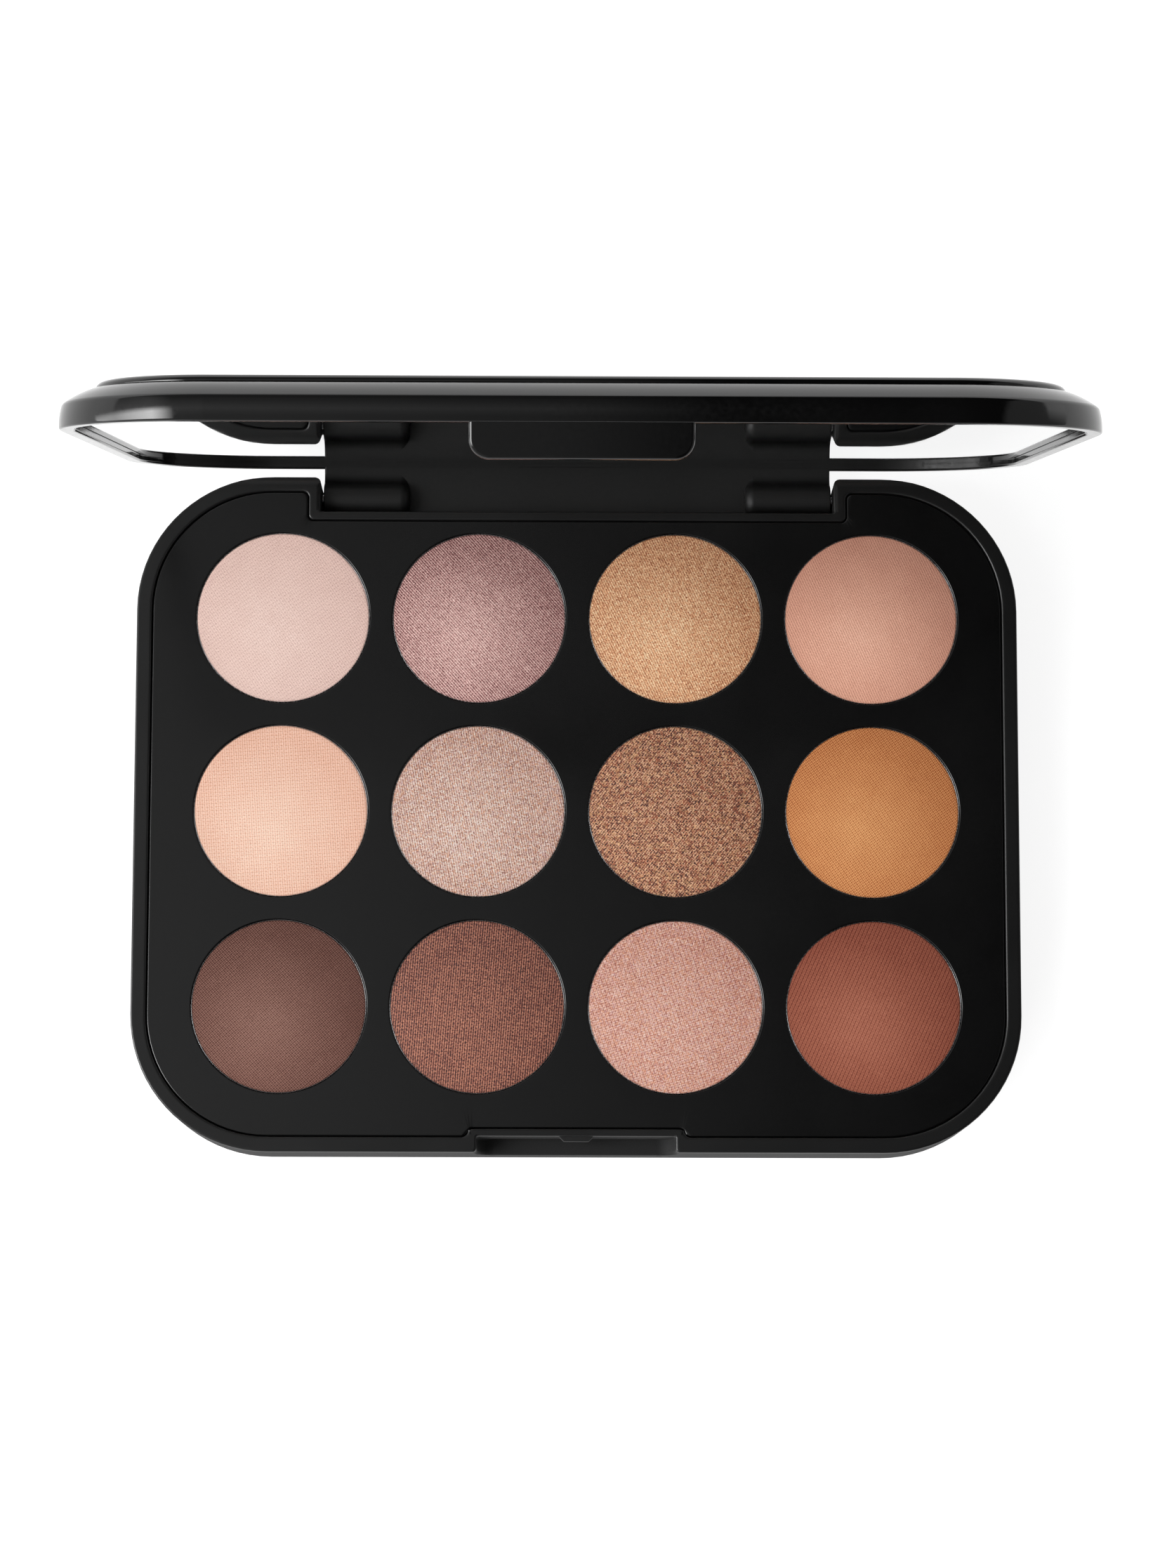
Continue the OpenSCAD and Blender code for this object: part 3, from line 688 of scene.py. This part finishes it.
# the rim gives way at the back, where the lip swings past it
behind = np.clip(shell_rows[..., 1] - HINGE_Y, 0, None)
shell_rows[..., 2] = np.minimum(shell_rows[..., 2], HINGE_Z + np.sqrt(SWING_R**2 - behind**2))
print("shell rows:", shell_rows.shape)

# %% Catch and posts, and the finished base
CATCH_D = 0.75
POST_R = 2.4
POST_SINK = 0.4  # how deep a post stands in the floor
TIP_R = 1.44
TIP_H = 1.44

catch_outline = rounded_path([
    (-CATCH_HALF, LATCH_Y, CRISP), (CATCH_D - CATCH_HALF, LATCH_Y - CATCH_D, EDGE_ROUND),
    (CATCH_HALF - CATCH_D, LATCH_Y - CATCH_D, EDGE_ROUND), (CATCH_HALF, LATCH_Y, CRISP),
    (CATCH_HALF, LATCH_Y + CATCH_D, CRISP), (-CATCH_HALF, LATCH_Y + CATCH_D, CRISP)], 6)
catch = bar(catch_outline, CATCH_Z, CATCH_Z + CATCH_H, CRISP, CRISP, "z")
post_profile = [(POST_R, FLOOR_T - POST_SINK), (POST_R, WELL_FOOT), (TIP_R, WELL_FOOT),
                (TIP_R, WELL_FOOT + TIP_H - CHAMFER), (TIP_R - CHAMFER, WELL_FOOT + TIP_H)]
posts = [skin(spun(post_profile, (x, y, 0), 32)) for x, y, _ in post_spots]
base_skins = [skin(shell_rows), catch, *posts]
make_piece("base_body", base_skins, base_satin, "base", ["base_shell"])

# %% [markdown]
# ## The tray
# The tray drops into the base and leaves a hairline seam. It is a flat plate with twelve wells, so its
# top is the one face here that no single stack of rows can give: it is filled between the outline and
# the circles of the wells. Each well is a turned profile with a rounded lip, which gives every pan its
# thin dark ring with a lit edge.

# %% Tray
ROUND_STEPS = 96  # points round a well, a cup or a pan
WELL_R = 13.1
WELL_WALL = 1.0
WELL_LIP = 0.15
WELL_FILLET = 0.3
WELL_Z = box_mm("pan_glue")[0][2]
CUP_R = WELL_R + WELL_WALL
SOCKET_R = 1.49
SOCKET_ROOF = 0.5
BOSS_R = 2.69

edge = tray_path(0)
edge_rows = [ring_row(edge, 0, PLATE_Z)]
edge_rows += [ring_row(edge, -SEAM_ROUND * c, TRAY_Z - SEAM_ROUND * (1 - s)) for s, c in zip(rise, fall)]
well_profile = [(WELL_R + WELL_LIP * (1 - s), TRAY_Z - WELL_LIP * c) for s, c in zip(rise, fall)]
well_profile += [(WELL_R, WELL_Z + WELL_FILLET), (WELL_R - WELL_FILLET / 3, WELL_Z + WELL_FILLET / 3),
                 (WELL_R - WELL_FILLET, WELL_Z)]
cup_profile = [(CUP_R - WELL_FILLET, WELL_FOOT), (CUP_R, WELL_FOOT + WELL_FILLET), (CUP_R, PLATE_Z)]
boss_profile = [(SOCKET_R, PLATE_Z - SOCKET_ROOF), (SOCKET_R, WELL_FOOT),
                (BOSS_R, WELL_FOOT), (BOSS_R, PLATE_Z)]
wells = [spun(well_profile, (x, y, 0), ROUND_STEPS) for x, y, _ in pan_centres.values()]
feet = [spun(cup_profile, (x, y, 0), ROUND_STEPS) for x, y, _ in pan_centres.values()]
feet += [spun(boss_profile, (x, y, 0), 32) for x, y, _ in post_spots]
top_face = flat_fill([edge_rows[-1][:, :2]] + [well[0, :, :2] for well in wells], TRAY_Z, 1)
under_face = flat_fill([edge_rows[0][:, :2]] + [foot[-1, :, :2] for foot in feet], PLATE_Z, -1)
tray_skins = [skin(edge_rows, "open", "open"), top_face, under_face]
tray_skins += [skin(well, "open", "cap") for well in wells] + [skin(foot, "cap", "open") for foot in feet]
make_piece("tray_plate", tray_skins, tray_satin, "base", ["pan_tray"])

# %% [markdown]
# ## Pans and powders
# A pan is drawn from thin sheet, so its profile is one line that runs out along the bottom, up the wall,
# over the rolled rim and back down inside. The powder is a turned cake as well, but a press never leaves
# it quite flat: it is a little higher in the middle, and each one has its own slow unevenness.

# %% Pans
PAN_R = 13.0
PAN_T = 0.25
PAN_EDGE = 0.06
PAN_HUB = 0.5  # a small flat cap closes the middle
PAN_FOOT = box_mm("pan_1_1")[0][2]
PAN_Z = box_mm("pan_1_1")[1][2]


def pan_profile():
    """Section of a pan from the middle of its underside, round its rim, to the middle of its inside.

    The wall is as thick as the sheet at the foot and is drawn thinner up to the rim, which is a half round.
    """
    foot, inner = 2 * PAN_T, PAN_T
    turn = np.linspace(0, np.pi, 9)
    outside = np.column_stack([PAN_R - foot * (1 - rise), PAN_FOOT + foot * fall])
    rim = np.column_stack([PAN_R - PAN_EDGE / 2 * (1 - np.cos(turn)),
                           PAN_Z - PAN_EDGE / 2 * (1 - np.sin(turn))])
    inside = np.column_stack([PAN_R - PAN_T - inner * fall, PAN_FOOT + PAN_T + inner * (1 - rise)])
    return np.concatenate([[(PAN_HUB, PAN_FOOT)], outside, rim, inside, [(PAN_HUB, PAN_FOOT + PAN_T)]])


for key, (x, y, _) in pan_centres.items():
    pan_rows = spun(pan_profile(), (x, y, 0), ROUND_STEPS)
    make_piece("pan_cup_%d_%d" % key, [skin(pan_rows)], pan_sheet, "base", ["pan_%d_%d" % key],
               sharp=60)

# %% Powders
CAKE_STEPS = 120
CAKE_R = PAN_R - PAN_EDGE - 0.01
CAKE_FOOT_R = PAN_R - 2 * PAN_T
CAKE_FOOT = PAN_FOOT + PAN_T
CAKE_Z = PAN_Z - 0.05
CAKE_ROUND = 0.2
CAKE_HUB = 0.4
CAKE_WAVE = 0.06
# how much higher each cake is in the middle than at its edge
cake_domes = {(1, 1): 0.16, (1, 2): 0.56, (1, 3): 0.46, (1, 4): 0.56, (2, 1): 0.1, (2, 2): 0.25,
              (2, 3): 0.5, (2, 4): 0.46, (3, 1): 0.5, (3, 2): 0.56, (3, 3): 0.36, (3, 4): 0.46}


def cake_rows(centre, dome, seed):
    """Rows of a cake of powder: up the side, round the edge, and in to the middle over a low dome.

    The dome falls with the square of the radius. A few slow waves round the centre, with phases drawn
    from the seed, are added to it, and they fade out at the middle and at the edge.
    """
    flat_r = CAKE_R - CAKE_ROUND
    reach = np.linspace(flat_r, CAKE_HUB, 26)[1:]
    share = reach / flat_r
    side = [(CAKE_FOOT_R - CHAMFER, CAKE_FOOT), (CAKE_FOOT_R, CAKE_FOOT + CHAMFER)]
    brow = np.column_stack([CAKE_R - CAKE_ROUND * fall, CAKE_Z - CAKE_ROUND * (1 - rise)])
    top = np.column_stack([reach, CAKE_Z + dome * (1 - share**2)])
    cake = spun(np.concatenate([side, brow, top]), (*centre[:2], 0), CAKE_STEPS)
    phase = np.random.default_rng(seed).uniform(0, 2 * np.pi, 3)
    angle = np.linspace(0, 2 * np.pi, CAKE_STEPS, endpoint=False)
    wave = sum(np.outer(share**k * (1 - share**2), np.sin(k * angle + phase[k - 1])) for k in (1, 2, 3))
    cake[-len(share):, :, 2] += CAKE_WAVE * wave
    return cake


for number, (key, centre) in enumerate(pan_centres.items()):
    make_piece("powder_cake_%d_%d" % key, [skin(cake_rows(centre, cake_domes[key], number))],
               powder_finish[key], "base", ["shade_%d_%d" % key], sharp=70)

# %% [markdown]
# ## The lid
# The lid is a frame with a lip round the mirror. Its back edge reaches down into the base's notch with a
# tongue, which carries a knuckle at each end for the pins, and its free edge has a tab that snaps over
# the catch. The frame is one stack of rows from the mirror's pocket, round the lip and the outer edge,
# to the seat of the raised panel. All of it is drawn shut and then turned open about the hinge axis.

# %% Lip of the lid
LIP_Z = RIM_Z + 0.2
LID_RIM = 2.0
LIP_INNER_ROUND = 0.35
POCKET_Z = LIP_Z + 2.35

lid_rows = [ring_row(lid_path, -LID_RIM, POCKET_Z)]
lid_rows += [ring_row(lid_path, -LID_RIM + LIP_INNER_ROUND * c, LIP_Z + LIP_INNER_ROUND * (1 - s))
             for s, c in zip(rise, fall)]
lid_rows += [ring_row(lid_path, -LIP_ROUND * (1 - s), LIP_Z + LIP_ROUND * c) for s, c in zip(rise, fall)]
print("lip rows:", len(lid_rows))

# %% [markdown]
# The lid's side leans in on a large arc and turns over on a small one. From there a gently bulging slope
# runs up to the seat of the panel: its steepness falls evenly from the foot to the top. The small arc
# has to meet the large one and the slope without a kink, which leaves just one radius for it.

# %% Side and shoulder of the lid
SIDE_Z = LIP_Z + 0.4
SIDE_R = 8.75
SIDE_LEAN = math.radians(16)
SLOPE_FOOT = math.radians(34)
SLOPE_TOP = math.radians(15)
BRINK_Z = LIP_Z + 5.167  # top of the slope
BRINK_ROUND = 0.06  # a crisp turn down to the seat
LID_Z = LIP_Z + 5.4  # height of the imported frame
SEAT_Z = LID_Z - 0.7
SEAT_INSET = 4.6

lean_in, lean_up = SIDE_R * (1 - math.cos(SIDE_LEAN)), SIDE_R * math.sin(SIDE_LEAN)
steep, gentle = math.tan(SLOPE_FOOT), math.tan(SLOPE_TOP)
mean = (steep + gentle) / 2
rest = BRINK_Z - SIDE_Z - lean_up - (SEAT_INSET - lean_in) * mean
turn_up = math.cos(SLOPE_FOOT) - math.sin(SIDE_LEAN)
turn_across = math.cos(SIDE_LEAN) - math.sin(SLOPE_FOOT)
turn_r = rest / (turn_up - turn_across * mean)
turn_in = lean_in + turn_r * math.cos(SIDE_LEAN)
turn_z = SIDE_Z + lean_up - turn_r * math.sin(SIDE_LEAN)
foot_in = turn_in - turn_r * math.sin(SLOPE_FOOT)
foot_z = turn_z + turn_r * math.cos(SLOPE_FOOT)
slope_w = SEAT_INSET - foot_in

lid_rows += [ring_row(lid_path, SIDE_R * (math.cos(a) - 1), SIDE_Z + SIDE_R * math.sin(a))
             for a in np.linspace(0, SIDE_LEAN, 8)]
lid_rows += [ring_row(lid_path, turn_r * math.cos(a) - turn_in, turn_z + turn_r * math.sin(a))
             for a in np.linspace(SIDE_LEAN, np.pi / 2 - SLOPE_FOOT, 12)[1:]]
lid_rows += [ring_row(lid_path, -foot_in - slope_w * t,
                      foot_z + slope_w * (steep * t - (steep - gentle) / 2 * t * t))
             for t in np.linspace(0, 1, 14)[1:]]
lid_rows += [ring_row(lid_path, -SEAT_INSET, height) for height in (BRINK_Z - BRINK_ROUND, SEAT_Z)]
print("turn of the shoulder:", round(turn_r, 2), "mm, lid rows:", len(lid_rows))

# %% Tongue
ROOT_Z = LIP_Z + 0.5  # tongue and tab reach this far into the frame
TONGUE_HALF = 38.5
TONGUE_FACE = 0.4  # how far the tongue's face lies behind the hinge axis
# lower corners of the tongue: how far behind and below the hinge axis they lie, and their rounds
TONGUE_FOOT = [(TONGUE_FACE, 2.55, 0.3), (1.5, 2.18, 0.5), (HALF_D - HINGE_Y, 1.12, 0.6)]

tongue_outline = rounded_path([
    (HINGE_Y + TONGUE_FACE, ROOT_Z, CRISP),
    *[(HINGE_Y + behind, HINGE_Z - below, corner) for behind, below, corner in TONGUE_FOOT],
    (HALF_D, ROOT_Z, CRISP)], 6)
tongue = bar(tongue_outline, -TONGUE_HALF, TONGUE_HALF, EDGE_ROUND, EDGE_ROUND, "x")
print("tongue points:", len(tongue[0]))

# %% Knuckles
KNUCKLE_R = 2.65
KNUCKLE_LEN = 13.0
KNUCKLE_ROUND = 1.4
BLEND_R = 1.5  # the hollow between a knuckle and the tongue's face
KNUCKLE_ROOT = (0.8, 0.6)  # how far a knuckle reaches into the tongue, and how far up from its foot


def knuckle_outline():
    """Section of a knuckle with its normals: a circle about the axis, and a hollow arc that meets it and
    the tongue's face. The arc's centre lies both radii away from the axis."""
    across = TONGUE_FACE - BLEND_R
    blend = np.array([across, math.sqrt((KNUCKLE_R + BLEND_R) ** 2 - across**2)])
    meet = math.atan2(blend[1], blend[0])
    angle = np.linspace(meet, 2 * np.pi + math.atan2(-KNUCKLE_R, TONGUE_FACE), 40)
    normal = np.column_stack([np.cos(angle), np.sin(angle)])
    circle = KNUCKLE_R * normal
    sweep = np.linspace(0, meet - np.pi, 14)[:-1]
    hollow = blend + BLEND_R * np.column_stack([np.cos(sweep), np.sin(sweep)])
    depth, up = KNUCKLE_ROOT
    inside = np.array([(TONGUE_FACE + depth, circle[-1, 1] + up), (TONGUE_FACE + depth, blend[1])])
    points = np.concatenate([hollow, circle, inside]) + (HINGE_Y, HINGE_Z)
    normals = np.concatenate([-(hollow - blend) / BLEND_R, normal, np.zeros((2, 2))])
    return points, normals


near, far = TONGUE_HALF - KNUCKLE_LEN, TONGUE_HALF
knuckles = [bar(knuckle_outline(), near, far, KNUCKLE_ROUND, CHAMFER, "x"),
            bar(knuckle_outline(), -far, -near, CHAMFER, KNUCKLE_ROUND, "x")]
print("knuckles:", len(knuckles), "each", KNUCKLE_LEN, "mm long")

# %% Tab and hook, and the finished frame
TAB_HALF = 13.75
TAB_Y = -HALF_D + 0.15
TAB_T = 1.3
TAB_FOOT = LIP_Z - 4.4
TAB_ROUND = 0.45
HOOK_D = 0.4
HOOK_Z = CATCH_Z - 1.0
HOOK_ROUND = 0.05

tab_outline = rounded_path([
    (ROOT_Z, -TAB_HALF, CRISP), (ROOT_Z, TAB_HALF, CRISP),
    (TAB_FOOT, TAB_HALF, LATCH_ROUND), (TAB_FOOT, -TAB_HALF, LATCH_ROUND)], 12)
hook_y = TAB_Y + TAB_T
tab = bar(tab_outline, TAB_Y, hook_y, TAB_ROUND, CHAMFER, "y")
hook_outline = rounded_path([
    (hook_y - HOOK_D, HOOK_Z, HOOK_ROUND), (hook_y, HOOK_Z, HOOK_ROUND),
    (hook_y + HOOK_D, HOOK_Z + CATCH_H / 2, CRISP), (hook_y + HOOK_D, HOOK_Z + CATCH_H, CRISP),
    (hook_y - HOOK_D, HOOK_Z + CATCH_H, HOOK_ROUND)], 5)
hook = bar(hook_outline, -CATCH_HALF, CATCH_HALF, HOOK_ROUND, HOOK_ROUND, "x")
lid_skins = [skin(lid_rows), tongue, tab, hook, *knuckles]
make_piece("lid_body", lid_skins, lid_gloss, "lid", ["lid_frame"])

# %% Raised panel
COVER_INSET = 4.75
COVER_Z = SEAT_Z + 1.35
COVER_ROUND = 0.75  # height of its rolled edge
COVER_ROLL = 1.2  # width of its rolled edge
COVER_CROWN = 0.06
CROWN_W = 11  # the panel rises by its crown over this width

panel_top = COVER_Z - COVER_CROWN
panel_rows = [ring_row(lid_path, -COVER_INSET - LIP_ROUND * (1 - s), SEAT_Z + LIP_ROUND * c)
              for s, c in zip(rise, fall)]
panel_rows += [ring_row(lid_path, -COVER_INSET - COVER_ROLL * c, panel_top - COVER_ROUND * (1 - s))
               for s, c in zip(*quarter(13))]
crown_inset = COVER_INSET + COVER_ROLL
panel_rows += [ring_row(lid_path, -crown_inset - CROWN_W * t, COVER_Z - COVER_CROWN * (1 - t) ** 2)
               for t in np.linspace(0, 1, 14)[1:]]
make_piece("lid_panel", [skin(panel_rows)], panel_gloss, "lid", ["lid_cover"])

# %% Mirror
MIRROR_INSET = 2.15
MIRROR_Z = LIP_Z + 0.95
MIRROR_T = 1.1
GLASS_ROUND = 0.15

glass_path = rounded_box(HALF_W - MIRROR_INSET, HALF_D - MIRROR_INSET, CORNER_R - MIRROR_INSET, 36)
glass = bar(glass_path, MIRROR_Z, MIRROR_Z + MIRROR_T, GLASS_ROUND, GLASS_ROUND, "z")
make_piece("mirror_plate", [glass], mirror_silver, "lid", ["mirror"], sharp=50)

# %% [markdown]
# ## Pins, glue and tape
# The pins hold the lid on the base and hardly show. The dabs of glue under the pans and the tape behind
# the mirror never show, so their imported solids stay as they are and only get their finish.

# %% Pins, glue and tape
PIN_R = 0.8

for side_name in ("left", "right"):
    low, high = box_mm("hinge_pin_" + side_name)
    pin_profile = [(PIN_R - CHAMFER, low[0]), (PIN_R, low[0] + CHAMFER),
                   (PIN_R, high[0] - CHAMFER), (PIN_R - CHAMFER, high[0])]
    pin_rows = spun(pin_profile, (0, HINGE_Y, HINGE_Z), 32, "x")
    make_piece("pin_" + side_name, [skin(pin_rows)], pin_wire, "base", ["hinge_pin_" + side_name])
for node_name, finish in (("pan_glue", glue_clear), ("mirror_tape", tape_white)):
    frame["nodes"][node_name].data.materials.clear()
    frame["nodes"][node_name].data.materials.append(finish)

# %% [markdown]
# ## Floor, light and camera
# The photograph is a cut-out on white. One soft box in front and to the left lights the powders. Black
# plastic shows hardly anything but reflections, so what it mirrors matters more: a bright window on the
# left, a dim panel overhead, a weak wall on the right and white walls low down at the back. These are
# painted into the world by direction, where walls and lamps of mesh would crowd the stage. The floor is a
# grey surface that also glows for the camera and for reflections, so that it reads as white paper and
# still keeps the soft shadow.

# %% Floor
FLOOR_HALF = 3.0
FLOOR_GLOW = 0.88
floor_mesh = bpy.data.meshes.new("paper_floor")
corner = np.array([(-1, -1), (1, -1), (1, 1), (-1, 1)]) * FLOOR_HALF
floor_mesh.from_pydata(np.column_stack([corner, np.zeros(4)]).tolist(), [], [[0, 1, 2, 3]])
floor = bpy.data.objects.new("paper_floor", floor_mesh)
bpy.context.scene.collection.objects.link(floor)
paper, tree, shader, place = start_finish("paper")
fibre = spread(tree, noise(tree, place, 2.0, 4), 0, 1)
rays = node(tree, "LightPath").outputs
seen = combined(tree, "MAXIMUM", rays["Is Camera Ray"], rays["Is Glossy Ray"], rays["Is Transmission Ray"])
set_inputs(tree, shader, {
    "Base Color": blend_colours(tree, fibre, (0.27, 0.27, 0.27, 1), (0.29, 0.29, 0.29, 1)),
    "Roughness": 0.9, "Specular IOR Level": 0.1, "Emission Color": (1, 1, 1, 1),
    "Emission Strength": combined(tree, "MULTIPLY", seen, FLOOR_GLOW)})
floor_mesh.materials.append(paper)
print("floor", 2 * FLOOR_HALF, "m wide")

# %% Studio walls
WINDOW = 13.0
DIM = 0.015  # what the studio keeps everywhere
world = bpy.data.worlds.new("studio")
bpy.context.scene.world = world
world.use_nodes = True
tree = world.node_tree
way = node(tree, "SeparateXYZ", {0: node(tree, "TexCoord").outputs["Generated"]}).outputs


def glowing(*ramps):
    """Brightness of one bright area of the studio: the product of ramps on the direction of view.

    A ramp is (axis, first level, last level, where it starts, where it ends).
    """
    return combined(tree, "MULTIPLY", *[spread(tree, way[axis], *ramp) for axis, *ramp in ramps])


overhead = glowing(("X", 0.7, 0.42, -0.14, -0.02), ("X", 1, 0, 0.0, 0.05), ("Y", 1, 0.3, 0.1, 0.4),
                   ("Y", 0.6, 1, -0.1, 0.1))
right_wall = glowing(("X", 0, 0.3, 0.6, 0.66))
# the window is brightest at its upper edge and fades to the back and to the front
window = glowing(("X", WINDOW, 0, -0.68, -0.46), ("Z", 0.4, 1, 0.3, 0.72), ("Y", 1, 0.04, 0.06, 0.18),
                 ("Y", 0, 1, -0.4, -0.25))
high_up = combined(tree, "ADD", combined(tree, "MAXIMUM", overhead, right_wall), DIM, window)
# the low walls are white at the back and on the left
low_walls = combined(tree, "MAXIMUM", glowing(("Y", 0.1, 1, 0.0, 0.3)), glowing(("X", 1, 0.1, -0.3, 0.1)))
low_down = combined(tree, "MULTIPLY", low_walls, glowing(("Z", 1.25, 0, 0.26, 0.31)))
studio = combined(tree, "MAXIMUM", high_up, low_down)
camera_ray = node(tree, "LightPath").outputs["Is Camera Ray"]
level = node(tree, "Mix", {0: camera_ray, 2: studio, 3: 1.0}).outputs[0]
set_inputs(tree, tree.nodes["Background"], {"Strength": level, "Color": (1, 1, 1, 1)})
print("nodes in the studio:", len(tree.nodes))

# %% Soft box
BOX_SPOT, BOX_AIM = Vector((-0.25, -0.5, 0.145)), Vector((0, 0, 0.01))
BOX_W, BOX_H, BOX_POWER = 0.3, 0.26, 4.2

lamp = bpy.data.lights.new("front_left_box", "AREA")
lamp.shape, lamp.size, lamp.size_y, lamp.energy = "RECTANGLE", BOX_W, BOX_H, BOX_POWER
soft_box = bpy.data.objects.new("front_left_box", lamp)
bpy.context.scene.collection.objects.link(soft_box)
soft_box.location = BOX_SPOT
soft_box.rotation_euler = (BOX_AIM - BOX_SPOT).to_track_quat("-Z", "Y").to_euler()
soft_box.visible_glossy = False
print("soft box", round((BOX_AIM - BOX_SPOT).length, 2), "m from the palette")

# %% Camera
SENSOR = 36
PHOTO_H = 2233
FOCAL_PX = 4500.3
SHIFT = 0.2
CAMERA_SPOT = np.array([-2.73, -91.8, 475.59])
CAMERA_TURN = np.radians([5.972, -0.416, 0.108])

eye = bpy.data.cameras.new("photo_camera")
camera = bpy.data.objects.new("photo_camera", eye)
bpy.context.scene.collection.objects.link(camera)
camera.location = CAMERA_SPOT * MM
camera.rotation_euler = CAMERA_TURN
eye.sensor_width = SENSOR
eye.lens = SENSOR * FOCAL_PX / PHOTO_H
eye.shift_y = SHIFT
eye.clip_start, eye.clip_end = 0.01, 20
bpy.context.scene.camera = camera
bpy.context.scene.view_settings.view_transform = "Standard"
print("lens", round(eye.lens, 1), "mm")
